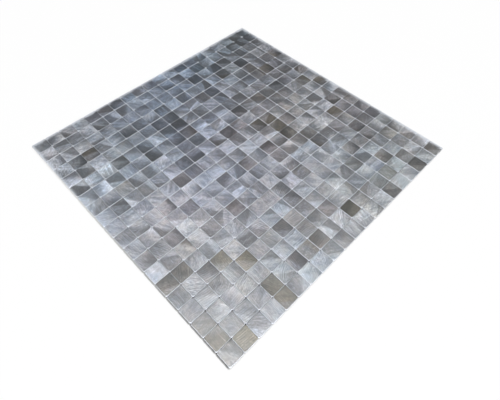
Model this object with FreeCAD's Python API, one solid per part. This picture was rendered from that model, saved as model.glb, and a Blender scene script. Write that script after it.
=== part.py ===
"""Mosaic tile sheet: square chips of polished shell, seated in rows on a net backing.

The sheet lies flat with its face up. The origin is on the floor, under the middle of the sheet.
X runs along a row of chips and Y from row to row. Every size is in millimetres.
"""

import FreeCAD
import Part

import os

# Driving dimensions of the sheet, over the outer edges of its chips
SHEET_LENGTH = 299.8
SHEET_WIDTH = 299.8
NARROWEST_JOINT = 0.2
BACKING_THICKNESS = 0.4
BACKING_SETBACK = 0.5

# Driving dimensions of one chip
CHIP_SIDE = 14.8
CHIP_THICKNESS = 2.0
ARRIS_WIDTH = 0.35
CORNER_CUT = 0.7

# Share of a chip by which rounding may miss a whole chip when a line is filled
ROUNDING = 1e-6


def chips_along(length):
    """Most chips that fit in a line of this length with no joint narrower than the narrowest."""
    return int((length + NARROWEST_JOINT) / (CHIP_SIDE + NARROWEST_JOINT) + ROUNDING)


def places_along(length):
    """Middles of the chips in a line that is centred on zero, with equal joints between them."""
    chips = chips_along(length)
    pitch = (length - CHIP_SIDE) / (chips - 1)
    return [index * pitch - (length - CHIP_SIDE) / 2 for index in range(chips)]


def blank_outline():
    """Square of the chip with its four corners nipped off, on the chip's underside."""
    half = CHIP_SIDE / 2
    flat = half - CORNER_CUT
    corners = [(half, flat), (flat, half), (-flat, half), (-half, flat)]
    corners += [(-x, -y) for x, y in corners]
    return Part.makePolygon([FreeCAD.Vector(x, y, 0) for x, y in corners + corners[:1]])


def square_outline(half, height):
    """Square wire centred on the Z axis."""
    corners = [(half, -half), (half, half), (-half, half), (-half, -half)]
    return Part.makePolygon([FreeCAD.Vector(x, y, height) for x, y in corners + corners[:1]])


def arris_taper():
    """Pyramid stump that eases the chip's four upper edges by the same width and depth."""
    spread = CHIP_SIDE / 2 - ARRIS_WIDTH + CHIP_THICKNESS
    foot = square_outline(spread, 0)
    face = square_outline(spread - CHIP_THICKNESS, CHIP_THICKNESS)
    return Part.makeLoft([foot, face], True, True)


def chip():
    """One chip, standing on the plane Z = 0 with its middle on the Z axis."""
    blank = Part.Face(blank_outline()).extrude(FreeCAD.Vector(0, 0, CHIP_THICKNESS))
    return blank.common(arris_taper()).Solids[0]


def chip_row(y):
    """One row of chips along X at this Y, face to face with the backing under them."""
    master = chip()
    chips = []
    for x in places_along(SHEET_LENGTH):
        copy = master.copy()
        copy.translate(FreeCAD.Vector(x, y, BACKING_THICKNESS))
        chips.append(copy)
    return Part.makeCompound(chips)


def mesh_backing():
    """Net and its glue film as one thin sheet, a little short of the outer chips all round."""
    length = SHEET_LENGTH - 2 * BACKING_SETBACK
    width = SHEET_WIDTH - 2 * BACKING_SETBACK
    corner = FreeCAD.Vector(-length / 2, -width / 2, 0)
    return Part.makeBox(length, width, BACKING_THICKNESS, corner)


def sub_parts():
    """Every node of the sheet with its shape."""
    nodes = {"mesh_backing": mesh_backing()}
    for number, y in enumerate(places_along(SHEET_WIDTH), start=1):
        nodes[f"chip_row_{number:02d}"] = chip_row(y)
    return nodes


os.makedirs("parts", exist_ok=True)
for node, shape in sub_parts().items():
    shape.exportStep(f"parts/{node}.step")
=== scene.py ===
"""Looks of the mosaic tile sheet: polished shell chips in rows on a net backing, in metres."""

import math
from collections import namedtuple

import bpy
import numpy as np
from mathutils import Matrix, Vector


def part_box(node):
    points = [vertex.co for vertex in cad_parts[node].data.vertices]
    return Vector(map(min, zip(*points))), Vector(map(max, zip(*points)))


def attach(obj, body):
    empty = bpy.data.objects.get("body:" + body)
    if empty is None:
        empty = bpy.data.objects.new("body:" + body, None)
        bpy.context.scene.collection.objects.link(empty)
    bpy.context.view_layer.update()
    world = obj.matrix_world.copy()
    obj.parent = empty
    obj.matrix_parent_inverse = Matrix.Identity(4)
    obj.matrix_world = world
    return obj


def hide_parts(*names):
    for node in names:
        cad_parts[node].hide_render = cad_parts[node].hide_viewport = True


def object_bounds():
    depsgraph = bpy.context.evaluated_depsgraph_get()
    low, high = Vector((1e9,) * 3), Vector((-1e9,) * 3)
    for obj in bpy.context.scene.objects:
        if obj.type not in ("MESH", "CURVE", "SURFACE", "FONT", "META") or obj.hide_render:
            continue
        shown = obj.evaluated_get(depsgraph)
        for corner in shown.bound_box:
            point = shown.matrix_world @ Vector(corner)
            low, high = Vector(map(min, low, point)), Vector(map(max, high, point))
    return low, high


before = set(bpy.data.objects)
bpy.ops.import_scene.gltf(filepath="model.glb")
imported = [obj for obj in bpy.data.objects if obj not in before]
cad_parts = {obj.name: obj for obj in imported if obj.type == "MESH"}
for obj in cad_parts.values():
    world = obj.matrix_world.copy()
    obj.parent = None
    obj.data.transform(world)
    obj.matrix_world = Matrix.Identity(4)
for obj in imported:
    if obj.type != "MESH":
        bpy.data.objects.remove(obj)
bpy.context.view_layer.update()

MM = 0.001
SEED = 20

# Places of the chips, read from the frame
ROWS = sorted(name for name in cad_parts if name.startswith("chip_row_"))
SHEET_LOW, SHEET_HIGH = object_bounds()
ROW_LOW, ROW_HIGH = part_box(ROWS[0])
NEXT_LOW, NEXT_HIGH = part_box(ROWS[1])
CHIP_SIDE = ROW_HIGH.y - ROW_LOW.y
CHIP_THICKNESS = ROW_HIGH.z - ROW_LOW.z
PITCH = NEXT_LOW.y - ROW_LOW.y
CHIPS_IN_ROW = round((ROW_HIGH.x - ROW_LOW.x - CHIP_SIDE) / PITCH) + 1
SEAT = ROW_LOW.z


class Graph:
    """A material's node tree, built with short calls that return sockets."""

    def __init__(self, name):
        self.material = bpy.data.materials.new(name)
        self.material.use_nodes = True
        self.tree = self.material.node_tree
        self.tree.nodes.clear()

    def node(self, kind, inputs=None, **settings):
        """A node with these inputs, each a socket to link or a value to set."""
        made = self.tree.nodes.new(kind)
        for key, value in settings.items():
            setattr(made, key, value)
        for key, value in (inputs or {}).items():
            if isinstance(value, bpy.types.NodeSocket):
                self.tree.links.new(value, made.inputs[key])
            else:
                made.inputs[key].default_value = value
        return made

    def math(self, operation, *values):
        made = self.node("ShaderNodeMath", dict(enumerate(values)), operation=operation)
        return made.outputs[0]

    def attribute(self, name):
        """The three values that a mesh holds under this name at every point."""
        split = self.node("ShaderNodeSeparateXYZ", {0: self.attribute_colour(name)})
        return split.outputs[0], split.outputs[1], split.outputs[2]

    def attribute_colour(self, name):
        return self.node("ShaderNodeAttribute", attribute_name=name).outputs["Vector"]

    def join(self, x, y, z):
        return self.node("ShaderNodeCombineXYZ", {0: x, 1: y, 2: z}).outputs[0]

    def noise(self, vector, scale, detail=2.0, roughness=0.5):
        inputs = {"Vector": vector, "Scale": scale, "Detail": detail, "Roughness": roughness}
        return self.node("ShaderNodeTexNoise", inputs).outputs[0]

    def about_zero(self, value, size):
        """A noise value moved from around a half to around zero, and scaled."""
        return self.math("MULTIPLY", self.math("SUBTRACT", value, 0.5), 2 * size)

    def smooth(self, value, low, high):
        """From 0 to 1, eased at both ends, while the value goes from low to high."""
        inputs = {"Value": value, "From Min": low, "From Max": high}
        return self.node("ShaderNodeMapRange", inputs, interpolation_type="SMOOTHSTEP").outputs[0]

    def span(self, value, low, high):
        """From low to high while the value goes from 0 to 1."""
        inputs = {"Value": value, "To Min": low, "To Max": high}
        return self.node("ShaderNodeMapRange", inputs).outputs[0]

    def mix(self, factor, a, b):
        return self.node("ShaderNodeMix", {0: factor, 6: a, 7: b}, data_type="RGBA").outputs[2]

    def scale(self, colour, factor):
        made = self.node("ShaderNodeVectorMath", {0: colour, 3: factor}, operation="SCALE")
        return made.outputs[0]

    def times(self, colour, other):
        made = self.node("ShaderNodeVectorMath", {0: colour, 1: other}, operation="MULTIPLY")
        return made.outputs[0]

    def bump(self, height, distance):
        return self.node("ShaderNodeBump", {"Height": height, "Distance": distance}).outputs[0]

    def finish(self, inputs):
        """The finished material, with these inputs on its surface shader."""
        shader = self.node("ShaderNodeBsdfPrincipled", inputs)
        self.node("ShaderNodeOutputMaterial", {"Surface": shader.outputs[0]})
        return self.material


# Growth lines of the shell, in powers of e, with unevenness in radians and drift in millimetres
RIPPLE_UNEVENNESS = 1.1
RIPPLE_FADING = (0.1, 0.6)
RIPPLE_SHARE = 0.5
STRIA_SHARE = 1.15
FINE_SHARE = 1.02
GRAIN_SHARE = 1.9
LINES_STRENGTH = 0.68
FINE_STRENGTH = 0.46
FINE_BY_DEPTH = 0.33
SLOW_DRIFT = 0.36
QUICK_DRIFT = 0.08


def growth_radius(g, u, v, place):
    """Distance from the shell's hinge, a little uneven. The growth lines run where it is alike."""
    drift = g.math("ADD", g.about_zero(g.noise(place, scale=0.13, detail=1.0), SLOW_DRIFT),
                   g.about_zero(g.noise(place, scale=0.7, detail=1.0), QUICK_DRIFT))
    squares = g.math("ADD", g.math("MULTIPLY", u, u), g.math("MULTIPLY", v, v))
    return g.math("ADD", g.math("SQRT", squares), drift)


def streaks(g, grown, run, scale, detail, roughness=0.5):
    """Noise drawn out along the growth lines: the smaller its run, the longer its streaks."""
    radius, v, seed = grown
    return g.noise(g.join(radius, g.math("MULTIPLY", v, run), seed), scale, detail, roughness)


def growth_lines(g, grown, spacing):
    """Uneven ripples with striae, and apart from them the fine lines with grain, around zero."""
    slow = streaks(g, grown, run=0.4, scale=0.3, detail=1.0)
    phase = g.math("ADD", g.math("MULTIPLY", g.math("DIVIDE", grown[0], spacing), math.tau),
                   g.about_zero(slow, RIPPLE_UNEVENNESS))
    fading = g.smooth(streaks(g, grown, run=0.5, scale=0.17, detail=1.0), *RIPPLE_FADING)
    ripple = g.math("MULTIPLY", g.math("MULTIPLY", g.math("SINE", phase), fading), RIPPLE_SHARE)
    stria = streaks(g, grown, run=0.05, scale=1.1, detail=3.0, roughness=0.7)
    fine = streaks(g, grown, run=0.19, scale=1.55, detail=2.0, roughness=0.65)
    grain = streaks(g, grown, run=0.9, scale=1.35, detail=1.5, roughness=0.7)
    lines = g.math("ADD", ripple, g.about_zero(stria, STRIA_SHARE))
    return lines, g.math("ADD", g.about_zero(fine, FINE_SHARE), g.about_zero(grain, GRAIN_SHARE))


# Folds of the nacre and its sheen, which is a painted sheen in its colour
FOLD_WANDER = 0.5
FOLD_BEND = 0.008
SILK_ACROSS = 0.3
SILK_ALONG = 0.045
SILK_STRENGTH = 1.02
CLOUD_STRENGTH = 0.45
BRIGHT_SHARE = 0.48
DEEPEST_TURN = 1.1

# Colour of the nacre, with the most that its clouds, silk and slow patches change it
PLAIN_TINT = (1, 1, 1, 1)
TURNED_TINT = (1.02, 1.0, 0.98, 1)
CLOUD_WARMTH = 0.12
SILK_WARMTH = 0.02
ROSE_CHANGE = 0.02

# Ground edges: white powder in layers, with grit
CHALK = (0.76, 0.8, 0.87)
CHALK_LAYERS = (0.62, 1.22)
LAYER_RUN = 0.15
GRIT_RISE = 3.0
GRIT_REACH = 0.22
GROUND_SPAN = (0.1, 0.45)

# Polish and relief of the shell, heights in millimetres
NACRE_IOR = 1.85
NACRE_ROUGHNESS = (0.46, 0.52)
DUST_ROUGHNESS = 0.3
LINES_HEIGHT = 0.006
FINE_HEIGHT = 0.003
GRIT_HEIGHT = 0.06


def turned_share(g, place, across, along, softness):
    """How far every place lies beyond the fold at which a chip's layers turn, from 0 to 1."""
    wander = g.about_zero(g.noise(place, scale=0.25, detail=3.0, roughness=0.6), FOLD_WANDER)
    bend = g.math("MULTIPLY", g.math("MULTIPLY", along, along), FOLD_BEND)
    beyond = g.math("DIVIDE", g.math("ADD", g.math("ADD", across, bend), wander), softness)
    return g.smooth(beyond, -1.0, 1.0)


def folded_light(g, silk, cloud, depth, swing, turn):
    """Power of e that the painted sheen, swing and folds give the light: bright ones held back, dark ones
    to a deepest one.
    """
    # painted sheen from silk and clouds, made stronger toward the far corner by depth
    sheen = g.math("ADD", g.math("MULTIPLY", silk, SILK_STRENGTH),
                   g.math("MULTIPLY", cloud, CLOUD_STRENGTH))
    sheen = g.math("MULTIPLY", sheen, depth)
    total = g.math("ADD", g.math("ADD", sheen, swing), g.math("MULTIPLY", turn, -1.0))
    total = g.math("MINIMUM", total, g.math("MULTIPLY", total, BRIGHT_SHARE))
    return g.math("MULTIPLY", g.math("TANH", g.math("DIVIDE", total, DEEPEST_TURN)), DEEPEST_TURN)


def tint_shift(g, place, silk, cloud, swing):
    """Red, green and blue around one: warmer in clouds, and rosier in slow patches."""
    warmer = g.math("ADD", g.math("MULTIPLY", cloud, CLOUD_WARMTH),
                    g.math("MULTIPLY", g.math("ADD", silk, swing), SILK_WARMTH))
    rosier = g.about_zero(g.noise(place, scale=0.21, detail=1.0), ROSE_CHANGE)
    return g.join(g.math("ADD", g.math("ADD", warmer, rosier), 1.0), g.math("SUBTRACT", 1.0, rosier),
                  g.math("ADD", g.math("SUBTRACT", rosier, warmer), 1.0))


def ground_edge(g, u, v, level, edge, chalk):
    """Share of white ground surface, the colour of its powder, and its grit."""
    grit_place = g.join(u, v, g.math("MULTIPLY", level, GRIT_RISE))
    grit = g.noise(grit_place, scale=1.7, detail=3.0, roughness=0.65)
    layer_place = g.join(g.math("MULTIPLY", u, LAYER_RUN), g.math("MULTIPLY", v, LAYER_RUN), level)
    layers = g.noise(layer_place, scale=3.5, detail=3.0)
    ground = g.smooth(g.math("ADD", edge, g.about_zero(grit, GRIT_REACH)), *GROUND_SPAN)
    return g.math("MULTIPLY", ground, chalk), g.scale(CHALK, g.span(layers, *CHALK_LAYERS)), grit


def shell_material():
    """Nacre: growth lines, silky folds with painted sheen, layers that turn dark, and chalky ground
    edges.
    """
    g = Graph("polished_shell")
    u, v, seed = g.attribute("shell")
    light, strength, step = g.attribute("figure")
    across, along, softness = g.attribute("fold")
    swing, edge, chalk = g.attribute("swing")
    spacing, level, depth = g.attribute("layer")
    place = g.join(u, v, seed)

    lines, fine = growth_lines(g, (growth_radius(g, u, v, place), v, seed), spacing)
    lines = g.math("MULTIPLY", lines, strength)
    fineness = g.math("MULTIPLY_ADD", depth, FINE_BY_DEPTH, FINE_STRENGTH)
    ripple = g.math("ADD", g.math("MULTIPLY", lines, LINES_STRENGTH),
                    g.math("MULTIPLY", fine, fineness))

    silk_place = g.join(g.math("MULTIPLY", across, SILK_ACROSS), g.math("MULTIPLY", along, SILK_ALONG),
                        seed)
    silk = g.about_zero(g.noise(silk_place, scale=1.0, detail=3.0), 1.0)
    cloud = g.about_zero(g.noise(place, scale=0.12, detail=2.0), 1.0)
    turned = turned_share(g, place, across, along, softness)
    turn = g.math("MULTIPLY", turned, step)
    folds = folded_light(g, silk, cloud, depth, swing, turn)
    # light carries the painted shade of the chip rims and joints
    value = g.math("MULTIPLY", light, g.math("EXPONENT", g.math("ADD", folds, ripple)))

    tint = g.mix(turned, g.attribute_colour("tint"), g.attribute_colour("stain"))
    tint = g.times(tint, tint_shift(g, place, silk, cloud, swing))
    tint = g.times(tint, g.mix(turn, PLAIN_TINT, TURNED_TINT))
    dusty, powder, grit = ground_edge(g, u, v, level, edge, chalk)

    relief = g.math("ADD", g.math("MULTIPLY", lines, LINES_HEIGHT), g.math("MULTIPLY", fine, FINE_HEIGHT))
    relief = g.math("ADD", relief, g.math("MULTIPLY", g.math("MULTIPLY", grit, dusty), GRIT_HEIGHT))
    return g.finish({
        "Base Color": g.mix(dusty, g.scale(tint, value), powder),
        "Roughness": g.math("ADD", g.span(lines, *NACRE_ROUGHNESS),
                            g.math("MULTIPLY", dusty, DUST_ROUGHNESS)),
        "Normal": g.bump(relief, MM),
        "IOR": NACRE_IOR,
    })


# Form of one chip
CORNER_CUT = 0.8 * MM
FACE_CORNER_CUT = 0.88 * MM
CORNER_BULGE = 0.2
CORNER_STEPS = 4
SIDE_STEPS = 8
ARRIS_WIDTH = 0.16 * MM
ARRIS_DEPTH = 0.2 * MM
ARRIS_FOOT = CHIP_THICKNESS - ARRIS_DEPTH
ARRIS_ROUNDING = 0.12
ARRIS_TOP = 0.985
ARRIS_SHARE = 0.75
FACE_INSETS = (0.9 * MM, 2.6 * MM, 5.0 * MM)
FACE_CROWN = 0.015 * MM
LOWER_EASE = 0.1 * MM
JOINT_FROM = 0.8 * MM
SHARP_DEGREES = 40

# How much the chips differ in form
SHRINK = (0.0, 0.1 * MM)
SHIFT = 0.035 * MM
THINNING = 0.06 * MM
TURN = math.radians(0.2)
TILT = math.radians(0.1)
EDGE_WAVE = 0.025 * MM
EDGE_WAVES = 12
ARRIS_WAVE = 0.22
ARRIS_WAVES = 26

# The ideal chip: its points and faces, and how far each point is ground edge and how far inset
Template = namedtuple("Template", "points faces shares insets")


def cut_square(half, cut):
    """Points of a square with cut and eased corners, the same number whatever its size."""
    reach = half - cut
    points = []
    for corner in range(4):
        middle = math.pi / 4 + corner * math.pi / 2
        cx = reach * math.sqrt(2) * math.cos(middle)
        cy = reach * math.sqrt(2) * math.sin(middle)
        first = corner * math.pi / 2
        for step in range(CORNER_STEPS + 1):
            angle = first + step / CORNER_STEPS * math.pi / 2
            straight = math.cos(math.pi / 4) / math.cos(angle - middle)
            size = cut * (CORNER_BULGE + (1 - CORNER_BULGE) * straight)
            points.append((cx + size * math.cos(angle), cy + size * math.sin(angle)))
        x, y = points[-1]
        onward = first + math.pi
        run = 2 * reach / SIDE_STEPS
        for step in range(1, SIDE_STEPS):
            points.append((x + run * step * math.cos(onward), y + run * step * math.sin(onward)))
    return np.array(points)


def chip_profile():
    """Inset, height, corner cut and edge share of each ring of a chip, from its foot to its face."""
    rings = [
        (LOWER_EASE, 0.0, CORNER_CUT, 1.0),
        (0.0, LOWER_EASE, CORNER_CUT, 1.0),
        (0.0, ARRIS_FOOT - JOINT_FROM, CORNER_CUT, 1.0),
        (0.0, ARRIS_FOOT, CORNER_CUT, 1.0),
    ]
    for way, share in ((ARRIS_ROUNDING, 1.0), (1 - ARRIS_ROUNDING, ARRIS_SHARE), (1, 0.0)):
        height = ARRIS_FOOT + ARRIS_DEPTH * min(way, ARRIS_TOP)
        cut = CORNER_CUT + (FACE_CORNER_CUT - CORNER_CUT) * way
        rings.append((ARRIS_WIDTH * way, height, cut, share))
    for inset in FACE_INSETS:
        rings.append((inset, CHIP_THICKNESS, FACE_CORNER_CUT, 0.0))
    return rings


def ring_faces(rings, count):
    """Quads between closed rings of points that follow each other."""
    faces = []
    for ring in range(rings - 1):
        a, b = ring * count, (ring + 1) * count
        for i in range(count):
            j = (i + 1) % count
            faces.append((a + i, a + j, b + j, b + i))
    return faces


def chip_template():
    """The ideal chip, with its middle on the Z axis."""
    rings = chip_profile()
    points, shares, insets = [], [], []
    for inset, height, cut, share in rings:
        flat = cut_square(CHIP_SIDE / 2 - inset, cut)
        count = len(flat)
        drop = FACE_CROWN * (1 - inset / (CHIP_SIDE / 2)) if height > CHIP_THICKNESS / 2 else 0
        points.append(np.column_stack([flat, np.full(count, height - drop)]))
        shares += [share] * count
        insets += [inset] * count
    points.append(np.array([[0, 0, CHIP_THICKNESS]]))
    shares.append(0.0)
    insets.append(CHIP_SIDE / 2)
    top = (len(rings) - 1) * count
    centre = len(rings) * count
    faces = [tuple(reversed(range(count)))] + ring_faces(len(rings), count)
    faces += [(top + i, top + (i + 1) % count, centre) for i in range(count)]
    return Template(np.vstack(points), faces, np.array(shares), np.array(insets))


def wave(angle, rng, highest):
    """A smooth random wave round the chip, between about -1 and 1."""
    total = np.zeros_like(angle)
    for k in range(2, highest):
        total += rng.normal() / math.sqrt(highest) * np.sin(k * angle + rng.uniform(0, math.tau))
    return total


def worn_chip(template, rng):
    """Points of the ideal chip with its own size, thickness, waviness, turn and tilt."""
    made = template.points.copy()
    angle = np.arctan2(made[:, 1], made[:, 0])
    radius = np.hypot(made[:, 0], made[:, 1])
    outward = made[:, :2] / np.maximum(radius, MM)[:, None]
    near_edge = np.clip(1 - template.insets / FACE_INSETS[0], 0, 1)
    push = EDGE_WAVE * wave(angle, rng, EDGE_WAVES) * near_edge
    on_arris = (template.shares < 1) * near_edge
    push -= ARRIS_WIDTH * ARRIS_WAVE * wave(angle, rng, ARRIS_WAVES) * on_arris
    made[:, :2] += outward * push[:, None]
    made[:, :2] *= 1 - rng.uniform(*SHRINK) / CHIP_SIDE
    made[:, 2] *= 1 - rng.uniform(0, THINNING) / CHIP_THICKNESS
    made[:, 2] += made[:, 0] * rng.uniform(-TILT, TILT) + made[:, 1] * rng.uniform(-TILT, TILT)
    turn = rng.uniform(-TURN, TURN)
    c, s = math.cos(turn), math.sin(turn)
    x, y = made[:, 0] * c - made[:, 1] * s, made[:, 0] * s + made[:, 1] * c
    made[:, 0] = x + rng.uniform(-SHIFT, SHIFT)
    made[:, 1] = y + rng.uniform(-SHIFT, SHIFT)
    return made


# Piece of shell that a chip was cut from: lengths in millimetres, spread of its turn in radians
SQUARE_SPREAD = 0.2
ASKEW_SHARE = 0.2
HINGE_DISTANCE = (15, 120)
SLANT = 0.6
SEEDS = (0, 400)
LINE_SPACING = (1.1, 1.8)
LINE_STRENGTH = (0.75, 1.35)
SHARPENING_X = 0.2
SHARPENING_Y = 0.15

# Light of the chips, and how chance, place and patches make one lighter or darker, in powers of e
LIGHT = 0.258
LIGHT_SPREAD = 0.365
LIGHTEST = 1.3
DARK_TAIL = 0.13
# Painted shade: chips get darker toward the sheet's far corner, along X, along Y and most where both grow
FAR_PAINTED_SHADE_X = 0.225
FAR_PAINTED_SHADE_Y = 0.19
FAR_PAINTED_SHADE_BOTH = 0.2
# Deepening: the painted sheen, swing and turns grow stronger toward the far corner, as do the spread of
# tone and the fine lines
DEEPENING_X = 0.25
DEEPENING_Y = 0.42
SLATE_SHADE = (-0.38, 0.85, 0.26, -0.4)
NEAR_SHADE = (-0.8, -0.9, 0.34, -0.24)
LEFT_SHINE = (-0.75, -0.15, 0.45, 0.08)
MIDDLE_SHINE = (0.3, 0.0, 0.45, 0.1)
RIGHT_SHINE = (0.85, 0.4, 0.25, 0.2)
# Swing: painted sheen, a lighter and a darker side across each chip at a random heading
SWING = 0.45

# Light within a chip: full on its face, less at its rim, and least down in the joints, where it is
# painted shade
RIM_PAINTED_SHADE = 0.07
RIM_REACH = 0.7 * MM
JOINT_PAINTED_SHADE = 0.08
BACK_LIGHT = 0.9

# Tint of the chips: how much redder than blue, and how much less green
WARMTH = -0.15
WARMTH_SPREAD = 0.038
WARMTH_BY_TONE = -0.045
WARMTH_FADING_Y = 0.6
WARMTH_WAVE = 0.05
SLATE_PATCH = (0.0, 0.64, 0.62, -0.3)
LEFT_PATCH = (-0.95, -0.2, 0.45, -0.07)
FAR_PATCH = (0.9, 0.95, 0.35, -0.13)
NEAR_PATCH = (-0.2, -0.4, 0.35, 0.05)
BROWN_PATCH = (0.6, 0.05, 0.45, 0.1)
BEIGE_CORNER = (-1.0, -1.0, 0.34, 0.2)
ROSE = 0.022
ROSE_SPREAD = 0.009
ROSE_WAVE = 0.012
ROSE_PATCH = (-0.25, 0.1, 0.6, 0.04)
COLD_ROSE = 0.11
COLD_FROM = -0.2
PALING = 0.35
HUE_WAVES = 9
HUE_WAVE_LENGTH = (110 * MM, 260 * MM)

# Khaki stains: the share of the chips that have one, and how warm and green they are
KHAKI_SHARE = 0.07
KHAKI_PATCH = (0.55, 0.2, 0.5, 0.5)
KHAKI_CORNER = (-1.0, -1.0, 0.5, 0.5)
KHAKI_TONE = -0.4
KHAKI_WARMTH = (0.08, 0.24)
KHAKI_FROM = -0.06
KHAKI_GREEN = 0.27
PLAIN_STAIN = 0.35

# Folds of a chip: lengths in millimetres, and the spread of their heading in radians
# The darker part beyond a fold lies more often on the side away from the near corner, as painted shade
FOLD_HEADING = math.radians(48)
FOLD_SPREAD = 0.4
REVERSED_SHARE = 0.35
ANY_WAY_SHARE = 0.35
FOLD_ACROSS = (-5, 4)
FOLD_ALONG = (-6, 6)
SHARP_SHARE = 0.3
SHARP_WIDTH = (0.3, 0.8)
SHARP_STEP = (0.55, 1.1)
SOFT_WIDTH = (1.5, 5.0)
SOFT_STEP = 0.8

# White of the ground edges, its painted light by facing and its painted change toward the far corner, and
# its haze at the far and left sides
CHALKINESS = 0.66
FACING_PAINTED_LIGHT = 0.2
CHALK_SPREAD = (0.8, 1.0)
CHALK_PAINTED_FALL = 0.3
CHALK_PAINTED_RISE = 0.24
CORNER_PAINTED_LIGHT = 0.36
WALL_CHALK = 0.52
SIDE_SPREAD = 0.7
SIDE_SPREAD_RISE = 0.6
ROW_PAINTED_LIGHT = 0.35
COLUMN_PAINTED_LIGHT = 0.12
BACK_SHARE = 0.22
HAZE = 0.9
LEFT_HAZE = 0.6
HAZE_REACH = 2.5 * MM


def patch(right, back, x, y, reach, strength):
    """How strongly a patch of the sheet, with this middle x, y, reach and strength, is felt at a place.

    Places and reach are in half sheets from the sheet's middle: right along X, and back along Y.
    """
    return strength * math.exp(-((right - x) ** 2 + (back - y) ** 2) / reach**2)


def hue_field(rng):
    """A slow random wave over the sheet, between about -1 and 1."""
    waves = []
    for _ in range(HUE_WAVES):
        heading, phase = rng.uniform(0, math.tau, 2)
        number = math.tau / rng.uniform(*HUE_WAVE_LENGTH)
        waves.append((number * math.cos(heading), number * math.sin(heading), phase))
    size = math.sqrt(2 / HUE_WAVES)
    return lambda x, y: size * sum(math.sin(a * x + b * y + phase) for a, b, phase in waves)


def tint_of(warm, rose, tone):
    """Red, green and blue around one, for so much warmth and rose, and paler in a lighter chip."""
    rose += COLD_ROSE * max(0, COLD_FROM - warm) - KHAKI_GREEN * max(0, warm - KHAKI_FROM)
    warm *= math.exp(-PALING * tone)
    rose *= math.exp(-PALING * tone)
    return 1 + warm / 2 + rose / 3, 1 - rose * 2 / 3, 1 - warm / 2 + rose / 3


def chip_tints(place, chance, tone, fields, rng):
    """Tint of one chip's nacre, and of the part beyond its fold, where a khaki stain is stronger."""
    x, y, _ = place
    right, back = x / SHEET_HIGH.x, y / SHEET_HIGH.y
    warm = WARMTH + WARMTH_SPREAD * rng.normal() + WARMTH_WAVE * fields[0](x, y)
    warm += WARMTH_BY_TONE * chance * (1 - WARMTH_FADING_Y * back)
    for spot in (SLATE_PATCH, LEFT_PATCH, FAR_PATCH, NEAR_PATCH, BROWN_PATCH, BEIGE_CORNER):
        warm += patch(right, back, *spot)
    rose = ROSE + ROSE_SPREAD * rng.normal() + ROSE_WAVE * fields[1](x, y)
    rose += patch(right, back, *ROSE_PATCH)
    khaki = KHAKI_SHARE + patch(right, back, *KHAKI_PATCH) + patch(right, back, *KHAKI_CORNER)
    stain = 0
    if rng.random() < khaki and chance < KHAKI_TONE:
        stain = rng.uniform(*KHAKI_WARMTH)
    return tint_of(warm + PLAIN_STAIN * stain, rose, tone), tint_of(warm + stain, rose, tone)


def chip_tone(right, back, depth, chance):
    """How much lighter or darker than most a chip at this place is, with painted shade toward the far
    corner.
    """
    tone = LIGHT_SPREAD * depth**0.5 * (chance - DARK_TAIL * chance**2)
    # painted shade toward the sheet's far corner
    tone -= FAR_PAINTED_SHADE_X * right + FAR_PAINTED_SHADE_Y * back + FAR_PAINTED_SHADE_BOTH * right * back
    for spot in (SLATE_SHADE, NEAR_SHADE, LEFT_SHINE, MIDDLE_SHINE, RIGHT_SHINE):
        tone += patch(right, back, *spot)
    return tone


def growth_place(x, y, z, rng):
    """Where every point of a chip lay in its shell: away from the hinge, and to the side."""
    facing = rng.integers(4) * math.pi / 2 + rng.normal() * SQUARE_SPREAD
    if rng.random() < ASKEW_SHARE:
        facing = rng.uniform(0, math.tau)
    distance = rng.uniform(*HINGE_DISTANCE)
    u = distance + x * math.cos(facing) + y * math.sin(facing) + SLANT * z
    return u, -x * math.sin(facing) + y * math.cos(facing)


def fold_figure(x, y, rng):
    """Where a chip's folds run, and how wide and deep its one turn to a darker layer is. Its darker side
    leans away from the near corner, as painted shade.
    """
    sharp = rng.random() < SHARP_SHARE
    heading = FOLD_HEADING + rng.normal() * FOLD_SPREAD + math.pi * (rng.random() < REVERSED_SHARE)
    if rng.random() < ANY_WAY_SHARE:
        heading = rng.uniform(0, math.tau)
    across = x * math.cos(heading) + y * math.sin(heading) + rng.uniform(*FOLD_ACROSS)
    along = -x * math.sin(heading) + y * math.cos(heading) + rng.uniform(*FOLD_ALONG)
    softness = rng.uniform(*(SHARP_WIDTH if sharp else SOFT_WIDTH))
    step = rng.uniform(*SHARP_STEP) if sharp else abs(rng.normal()) * SOFT_STEP
    return across, along, softness, step


def joint_points(place, template):
    """Which points of a chip lie down in a joint, and not on the outside of the sheet: where the painted
    joint shade goes.
    """
    x, y, z = template.points.T
    aside = np.abs(x + place[0]) > SHEET_HIGH.x - ARRIS_WIDTH / 2
    behind = np.abs(y + place[1]) > SHEET_HIGH.y - ARRIS_WIDTH / 2
    near_corner = np.maximum(x, y) < FACE_CORNER_CUT - CHIP_SIDE / 2
    deep = z < np.where(near_corner, LOWER_EASE, ARRIS_FOOT - JOINT_FROM / 2)
    return deep & ~(aside | behind)


def point_light(in_joint, tone, template):
    """Light of the nacre at every point of a chip with this tone, with painted shade at its rim and down
    in the joints.
    """
    # painted shade: darker toward the chip's rim
    rim = 1 - RIM_PAINTED_SHADE * np.exp(-((template.insets - ARRIS_WIDTH) / RIM_REACH) ** 2)
    # painted shade down in a joint, while the back face keeps most of its light
    lower = np.where(template.points[:, 2] < LOWER_EASE / 2, BACK_LIGHT, JOINT_PAINTED_SHADE)
    return LIGHT * math.exp(tone) * np.where(in_joint, lower, rim)


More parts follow.
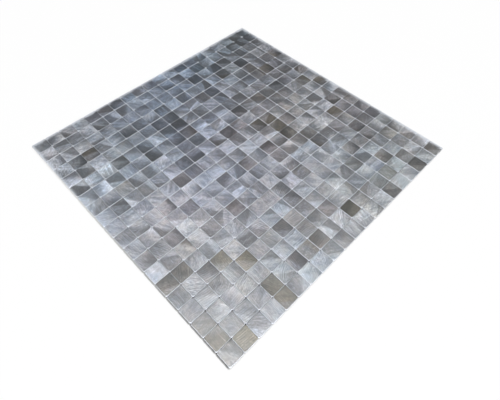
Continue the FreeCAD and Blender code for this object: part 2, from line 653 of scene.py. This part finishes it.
def edge_shares(place, in_joint, template):
    """How far every point of a chip is ground edge: the arris and outer sides, and a little the back.

    Faces have a haze of it along the sheet's far sides and the far end of its left side.
    """
    x, y = template.points[:, 0] + place[0], template.points[:, 1] + place[1]
    haze = HAZE * np.exp(-np.minimum(SHEET_HIGH.x - x, SHEET_HIGH.y - y) / HAZE_REACH)
    behind = (y - SHEET_LOW.y) / (SHEET_HIGH.y - SHEET_LOW.y)
    haze_left = LEFT_HAZE * behind**2 * np.exp(-(x - SHEET_LOW.x) / HAZE_REACH)
    lower = np.where(template.points[:, 2] < LOWER_EASE / 2, BACK_SHARE, 0)
    return np.where(in_joint, lower, np.maximum(template.shares, np.maximum(haze, haze_left)))


def side_whites(place, x, y, away):
    """How much whiter or greyer than most a chip's four sides are, each in its own way, with painted
    light that makes row sides, and less so column sides, greyer toward the near corner and whiter toward
    the far one.
    """
    column = int((place[0] - SHEET_LOW.x) / PITCH)
    row = int((place[1] - SHEET_LOW.y) / PITCH)
    chances = np.random.default_rng((SEED, column, row)).uniform(-1, 1, 4)
    side = np.where(np.abs(x) > np.abs(y), x > 0, 2 + (y > 0))
    spread = SIDE_SPREAD + SIDE_SPREAD_RISE * away
    gain = np.where(np.abs(y) > np.abs(x), ROW_PAINTED_LIGHT, COLUMN_PAINTED_LIGHT)
    return np.maximum(1 + spread * chances[side], 0) * (1 + gain * away)


def chalkiness(place, template, rng):
    """How white the ground edge is at every point of a chip.

    Sides that face the near corner of the sheet are whiter, a painted light, the cut corners that face it
    are the whitest, a painted highlight, and those that face away get painted shade. Across the sheet the
    white changes toward the far corner, also painted. The outer walls of the sheet's two near sides start
    from a white of their own.
    """
    x, y, z = template.points.T
    at_corner = np.minimum(np.abs(x), np.abs(y)) > CHIP_SIDE / 2 - FACE_CORNER_CUT - ARRIS_WIDTH
    far_rim = np.minimum(SHEET_HIGH.x - place[0] - x, SHEET_HIGH.y - place[1] - y) < HAZE_REACH
    near_rim = np.minimum(place[0] + x - SHEET_LOW.x, place[1] + y - SHEET_LOW.y) <= HAZE_REACH

    facing = np.where(np.abs(x) > np.abs(y), np.sign(x), np.sign(y))
    facing = np.where(at_corner, np.minimum(np.sign(x), np.sign(y)), facing)
    facing = np.where(far_rim, -1, facing)
    # painted light: whiter on sides that face the near corner
    white = CHALKINESS - FACING_PAINTED_LIGHT * facing
    toward = np.where((x < 0) & (y < 0) & ~near_rim, 1, np.where((x > 0) & (y > 0), -1, 0))
    # painted highlight on corners that face the near corner, painted shade on those that face away
    white += CORNER_PAINTED_LIGHT * at_corner * toward
    white = np.where((z < ARRIS_FOOT - JOINT_FROM / 2) & near_rim, WALL_CHALK, white)

    away = (place[0] + place[1]) / (SHEET_HIGH.x + SHEET_HIGH.y)
    white *= np.where(near_rim | far_rim | at_corner, 1, side_whites(place, x, y, away))
    # painted light: the white changes toward the far corner
    return white * rng.uniform(*CHALK_SPREAD) * (1 - CHALK_PAINTED_FALL * away + CHALK_PAINTED_RISE * away**2)


def chip_figure(place, template, fields, rng):
    """Values that the shell material reads, for every point of one chip."""
    x, y, z = (template.points / MM).T
    alike = np.ones_like(x)
    u, v = growth_place(x, y, z, rng)
    seed = alike * rng.uniform(*SEEDS)
    right, back = place[0] / SHEET_HIGH.x, place[1] / SHEET_HIGH.y
    depth = 1 + DEEPENING_X * right + DEEPENING_Y * back
    chance = min(rng.normal(), LIGHTEST)
    tone = chip_tone(right, back, depth, chance)
    strength = rng.uniform(*LINE_STRENGTH) * (1 + SHARPENING_X * right + SHARPENING_Y * back)
    in_joint = joint_points(place, template)
    chalk = chalkiness(place, template, rng)
    across, along, softness, step = fold_figure(x, y, rng)
    heading = rng.uniform(0, math.tau)
    slope = abs(rng.normal()) * SWING / (CHIP_SIDE / 2 / MM)
    swing = (x * math.cos(heading) + y * math.sin(heading)) * slope * depth
    plain, stained = chip_tints(place, chance, tone, fields, rng)
    return {
        "shell": (u, v, seed),
        "figure": (point_light(in_joint, tone, template), alike * strength, alike * step * depth),
        "tint": tuple(alike * part for part in plain),
        "stain": tuple(alike * part for part in stained),
        "fold": (across, along, alike * softness),
        "swing": (swing, edge_shares(place, in_joint, template), chalk),
        "layer": (alike * rng.uniform(*LINE_SPACING), z, alike * depth),
    }


# Pieces of the sheet

def add_piece(name, points, faces, values, material, nodes):
    """A mesh piece of the sheet with its point values, standing for these nodes."""
    mesh = bpy.data.meshes.new(name)
    mesh.from_pydata(points.tolist(), [], faces)
    for key, value in values.items():
        layer = mesh.attributes.new(key, "FLOAT_VECTOR", "POINT")
        layer.data.foreach_set("vector", value.astype(np.float32).ravel())
    mesh.shade_smooth()
    mesh.set_sharp_from_angle(angle=math.radians(SHARP_DEGREES))
    mesh.materials.append(material)
    piece = bpy.data.objects.new(name, mesh)
    bpy.context.collection.objects.link(piece)
    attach(piece, "root")
    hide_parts(*nodes)


class Parts:
    """Points, faces and point values of many like shapes, gathered for one mesh."""

    def __init__(self):
        self.points = []
        self.faces = []
        self.values = {}
        self.count = 0

    def add(self, points, faces, values):
        self.faces += [tuple(i + self.count for i in face) for face in faces]
        self.points.append(points)
        self.count += len(points)
        for key, value in values.items():
            self.values.setdefault(key, []).append(np.column_stack(value))

    def piece(self, name, material, slot, nodes):
        values = {key: np.vstack(value) for key, value in self.values.items()}
        add_piece(name, np.vstack(self.points), self.faces, values, material, nodes)


def chips_piece(name, rows, template, material, fields, rng):
    """One mesh with the chips of these rows."""
    parts = Parts()
    for row in rows:
        low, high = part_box(row)
        for column in range(CHIPS_IN_ROW):
            place = (low.x + CHIP_SIDE / 2 + column * PITCH, (low.y + high.y) / 2, SEAT)
            chip = worn_chip(template, rng) + np.array(place)
            chip = np.clip(chip, np.array(SHEET_LOW), np.array(SHEET_HIGH))
            parts.add(chip, template.faces, chip_figure(place, template, fields, rng))
    parts.piece(name, material, "shell", rows)


def make_chips():
    """The chips, two rows to a piece."""
    rng = np.random.default_rng(SEED)
    template = chip_template()
    material = shell_material()
    fields = hue_field(rng), hue_field(rng)
    for first in range(0, len(ROWS), 2):
        rows = ROWS[first:first + 2]
        name = "chips_" + "_".join(row[-2:] for row in rows)
        chips_piece(name, rows, template, material, fields, rng)


# Net backing: glass strands woven over and under, and the glue along them
STRAND_SPACING = 5.0 * MM
STRAND_WIDTH = (0.7 * MM, 0.95 * MM)
STRAND_CHANGE = 0.1
STRAND_THICKNESS = 0.16 * MM
STRAND_SIDES = 6
WEAVE_DEPTH = 0.1 * MM
STRAND_DRIFT = 0.12 * MM
FIBRE_SEEDS = (0, 100)
GLUE_WIDTH = (1.1 * MM, 2.2 * MM)
GLUE_THICKNESS = (0.07 * MM, 0.13 * MM)
GLUE_CREST = 0.45
GLUE_SHY = 0.005 * MM
GLUE_STEP = 1.87 * MM

# Looks of the glass strands and of the glue
FIBRE_RUN = 0.12
STRAND_SHADES = (0.52, 0.53, 0.52, 1), (0.8, 0.81, 0.8, 1)
STRAND_ROUGHNESS = (0.35, 0.6)
FIBRE_HEIGHT = 0.04 * MM
GLUE_SHADES = (0.42, 0.38, 0.29, 1), (0.6, 0.56, 0.46, 1)
GLUE_ROUGHNESS = (0.25, 0.5)
GLUE_GRAIN_HEIGHT = 0.02 * MM


def slow_wave(along, rng, longest, shortest, terms=7):
    """A smooth random wave along a line, between about -1 and 1."""
    total = np.zeros_like(along)
    for _ in range(terms):
        length = math.exp(rng.uniform(math.log(shortest), math.log(longest)))
        total += np.sin(along / length * math.tau + rng.uniform(0, math.tau)) / math.sqrt(terms)
    return total


def tube_faces(rings, sides):
    """Faces of a closed tube: its two ends and the quads between its rings."""
    ends = [tuple(reversed(range(sides))), tuple((rings - 1) * sides + i for i in range(sides))]
    return ends + ring_faces(rings, sides)


def laid(along, aside, height, lengthwise):
    """Points from distances along and beside a strand that runs along X, or else along Y."""
    x, y = (along, aside) if lengthwise else (-aside, along)
    return np.column_stack([x.ravel(), y.ravel(), height.ravel()])


def strand(middle, reach, over, lengthwise, rng):
    """One woven strand, at this distance from the sheet's middle line, and its point values."""
    steps = round(2 * reach / STRAND_SPACING * 2)
    along = np.linspace(-reach, reach, steps + 1)[:, None]
    width = rng.uniform(*STRAND_WIDTH)
    width = width * (1 + STRAND_CHANGE * slow_wave(along, rng, longest=60 * MM, shortest=8 * MM))
    centre = middle + STRAND_DRIFT * slow_wave(along, rng, longest=150 * MM, shortest=20 * MM)
    lift = over * WEAVE_DEPTH * np.cos(math.pi * (along / STRAND_SPACING - 0.5))
    around = np.arange(STRAND_SIDES)[None, :] / STRAND_SIDES * math.tau
    aside = centre + width / 2 * np.cos(around)
    height = SEAT / 2 + lift + STRAND_THICKNESS / 2 * np.sin(around)
    points = laid(along + 0 * aside, aside, height, lengthwise)
    values = (along + 0 * aside, around + 0 * aside, rng.uniform(*FIBRE_SEEDS) + 0 * aside)
    return points, tube_faces(len(along), STRAND_SIDES), {"fibre": [v.ravel() / MM for v in values]}


def glue_band(middle, reach, lengthwise, rng):
    """The glue that one strand lies in: a low uneven band against the chips."""
    along = np.linspace(-reach, reach, round(2 * reach / GLUE_STEP) + 1)[:, None]
    least, most = GLUE_WIDTH
    left, right = ((least + most) / 4 + (most - least) / 4
                   * slow_wave(along, rng, longest=40 * MM, shortest=5 * MM) for _ in range(2))
    change = slow_wave(along, rng, longest=30 * MM, shortest=6 * MM)
    depth = np.mean(GLUE_THICKNESS) + np.ptp(GLUE_THICKNESS) / 2 * change
    aside = middle + np.hstack([-left, -GLUE_CREST * left, GLUE_CREST * right, right])
    top = np.full_like(along, SEAT - GLUE_SHY)
    height = np.hstack([top, top - depth, top - depth, top])
    points = laid(along + 0 * aside, aside, height, lengthwise)
    return points, tube_faces(len(along), 4), {}


def glass_material():
    """White glass strands with fine fibres along them."""
    g = Graph("glass_net")
    along, around, seed = g.attribute("fibre")
    fibre_place = g.join(g.math("MULTIPLY", along, FIBRE_RUN), around, seed)
    fibres = g.noise(fibre_place, scale=0.02, detail=3.0, roughness=0.7)
    return g.finish({
        "Base Color": g.mix(fibres, *STRAND_SHADES),
        "Roughness": g.span(fibres, *STRAND_ROUGHNESS),
        "Normal": g.bump(fibres, FIBRE_HEIGHT),
    })


def glue_material():
    """Milky dried glue, a little yellow in places."""
    g = Graph("dried_glue")
    place = g.node("ShaderNodeTexCoord").outputs["Object"]
    cloud = g.noise(place, scale=90.0, detail=3.0)
    grain = g.noise(place, scale=1500.0, detail=2.0)
    return g.finish({
        "Base Color": g.mix(cloud, *GLUE_SHADES),
        "Roughness": g.span(grain, *GLUE_ROUGHNESS),
        "Normal": g.bump(grain, GLUE_GRAIN_HEIGHT),
    })


def make_net():
    """Warp and weft strands and their glue, in place of the plain backing."""
    rng = np.random.default_rng(SEED + 1)
    _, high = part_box("mesh_backing")
    count = 2 * round(high.x / STRAND_SPACING)
    glass, glue = glass_material(), glue_material()
    for name, reach, lengthwise in (("net_weft", high.x, True), ("net_warp", high.y, False)):
        strands, bands = Parts(), Parts()
        for number in range(count):
            middle = (number - (count - 1) / 2) * STRAND_SPACING
            over = (1 if lengthwise else -1) * (1 if number % 2 else -1)
            strands.add(*strand(middle, reach, over, lengthwise, rng))
            bands.add(*glue_band(middle, reach, lengthwise, rng))
        strands.piece(name, glass, "net_backing", ["mesh_backing"])
        bands.piece(name.replace("net", "glue"), glue, "net_backing", ["mesh_backing"])


# Floor: a round white floor that curves up into a low wall, and the painted shadow on it
FLOOR_RADIUS = 2.6
COVE_RADIUS = 0.5
COVE_HEIGHT = 1.1
COVE_STEPS = 12
COVE_SIDES = 96
FLOOR_COLOUR = (0.85, 0.85, 0.85, 1)
SEEN_WHITE = 0.98
SHADE_REACH = 1.8 * MM
SHADE_POWER = 5.0
SHADE_SAMPLES = 8
SHADE_LEAST = 0.1
SHADE_MOST = 0.95
SHADE_SIDE = (0.6, -0.75, 0.25)


def white_material():
    """White to the camera and in reflections, with a painted shadow close around and under the sheet."""
    g = Graph("white_cove")
    path = g.node("ShaderNodeLightPath")
    seen = g.math("MAXIMUM", path.outputs["Is Camera Ray"], path.outputs["Is Glossy Ray"])
    seen = g.math("MAXIMUM", seen, path.outputs["Is Transmission Ray"])
    openness = g.node("ShaderNodeAmbientOcclusion",
                      {"Distance": SHADE_REACH, "Normal": g.join(*SHADE_SIDE)},
                      samples=SHADE_SAMPLES).outputs["AO"]
    place = g.node("ShaderNodeSeparateXYZ", {0: g.node("ShaderNodeTexCoord").outputs["Object"]})
    on_the_left = g.math("LESS_THAN", place.outputs[0], SHEET_LOW.x)
    fading = g.node("ShaderNodeMapRange", {
        "Value": place.outputs[1],
        "From Min": SHEET_LOW.y,
        "From Max": SHEET_HIGH.y,
        "To Min": SHADE_LEAST,
        "To Max": SHADE_MOST,
    }).outputs[0]
    fading = g.math("MULTIPLY", fading, on_the_left)
    # painted shadow: the floor's white glow dims where the sheet is close, less so toward the back on its
    # left side
    bright = g.math("MAXIMUM", g.math("POWER", openness, SHADE_POWER), fading)
    plain = g.node("ShaderNodeBsdfDiffuse", {"Color": FLOOR_COLOUR})
    white = g.node("ShaderNodeEmission", {"Color": (1, 1, 1, 1), "Strength": bright})
    share = g.math("MULTIPLY", seen, SEEN_WHITE)
    both = g.node("ShaderNodeMixShader", {0: share, 1: plain.outputs[0], 2: white.outputs[0]})
    g.node("ShaderNodeOutputMaterial", {"Surface": both.outputs[0]})
    return g.material


def make_cove():
    """The floor and its wall, turned round the Z axis."""
    profile = [(FLOOR_RADIUS, 0.0)]
    for step in range(1, COVE_STEPS + 1):
        angle = step / COVE_STEPS * math.pi / 2
        profile.append((FLOOR_RADIUS + COVE_RADIUS * math.sin(angle),
                        COVE_RADIUS * (1 - math.cos(angle))))
    profile.append((FLOOR_RADIUS + COVE_RADIUS, COVE_HEIGHT))
    points = [(0, 0, 0)]
    for radius, height in profile:
        for side in range(COVE_SIDES):
            angle = side / COVE_SIDES * math.tau
            points.append((radius * math.cos(angle), radius * math.sin(angle), height))
    faces = []
    for side in range(COVE_SIDES):
        following = (side + 1) % COVE_SIDES
        faces.append((0, 1 + side, 1 + following))
        for ring in range(len(profile) - 1):
            a = 1 + ring * COVE_SIDES
            b = a + COVE_SIDES
            faces.append((a + side, b + side, b + following, a + following))
    mesh = bpy.data.meshes.new("cove")
    mesh.from_pydata(points, [], faces)
    mesh.shade_smooth()
    mesh.materials.append(white_material())
    cove = bpy.data.objects.new("cove", mesh)
    bpy.context.collection.objects.link(cove)


# Strength of the even grey surround
SURROUND = 0.27


def make_lamp(name, place, aim, radius, radiance):
    """A round lamp of this radius and brightness, facing a point."""
    lamp = bpy.data.lights.new(name, "AREA")
    lamp.shape = "DISK"
    lamp.size = 2 * radius
    lamp.energy = radiance * math.pi * math.pi * radius**2
    holder = bpy.data.objects.new(name, lamp)
    holder.location = place
    holder.rotation_euler = (Vector(aim) - Vector(place)).to_track_quat("-Z", "Y").to_euler()
    bpy.context.collection.objects.link(holder)


def make_light():
    """Soft studio light: a grey surround, two lamps over the near corner, one aside, one in front."""
    world = bpy.data.worlds.new("surround")
    world.use_nodes = True
    background = world.node_tree.nodes["Background"]
    background.inputs["Color"].default_value = (1, 1, 1, 1)
    background.inputs["Strength"].default_value = SURROUND
    bpy.context.scene.world = world
    make_lamp("near_lamp", place=(-0.3, -0.42, 0.5), aim=(-0.03, -0.03, 0), radius=0.2, radiance=5.9)
    make_lamp("high_lamp", place=(-0.12, -0.08, 0.8), aim=(-0.1, -0.1, 0), radius=0.2, radiance=6.8)
    make_lamp("side_lamp", place=(0.6, -0.3, 0.3), aim=(0, 0, 0), radius=0.15, radiance=2.0)
    make_lamp("front_lamp", place=(-0.62, -0.62, 0.3), aim=(0, 0, 0), radius=0.16, radiance=14.0)


# Camera, as it stood for the photograph
PHOTO_WIDTH = 500
FOCAL_PIXELS = 382.6
CENTRE_PIXEL = 255.47
SENSOR = 36.0
CAMERA_AT = Vector((-175.6, -198.8, 299.5)) * MM
CAMERA_AIM = Vector((-33.5, -59.2, 2.4)) * MM
CAMERA_ROLL = math.radians(0.68)
CLIP_START = 0.01


def make_camera():
    """The scene's camera, with the photograph's place, heading and lens."""
    data = bpy.data.cameras.new("camera")
    data.sensor_width = SENSOR
    data.lens = SENSOR * FOCAL_PIXELS / PHOTO_WIDTH
    data.shift_x = 0.5 - CENTRE_PIXEL / PHOTO_WIDTH
    data.clip_start = CLIP_START
    camera = bpy.data.objects.new("camera", data)
    aim = (CAMERA_AIM - CAMERA_AT).to_track_quat("-Z", "Y").to_matrix().to_4x4()
    camera.matrix_world = Matrix.Translation(CAMERA_AT) @ aim @ Matrix.Rotation(CAMERA_ROLL, 4, "Z")
    bpy.context.collection.objects.link(camera)
    bpy.context.scene.camera = camera


make_camera()
make_cove()
make_light()
make_chips()
make_net()

bpy.context.scene.view_settings.view_transform = "Standard"
bpy.context.view_layer.update()
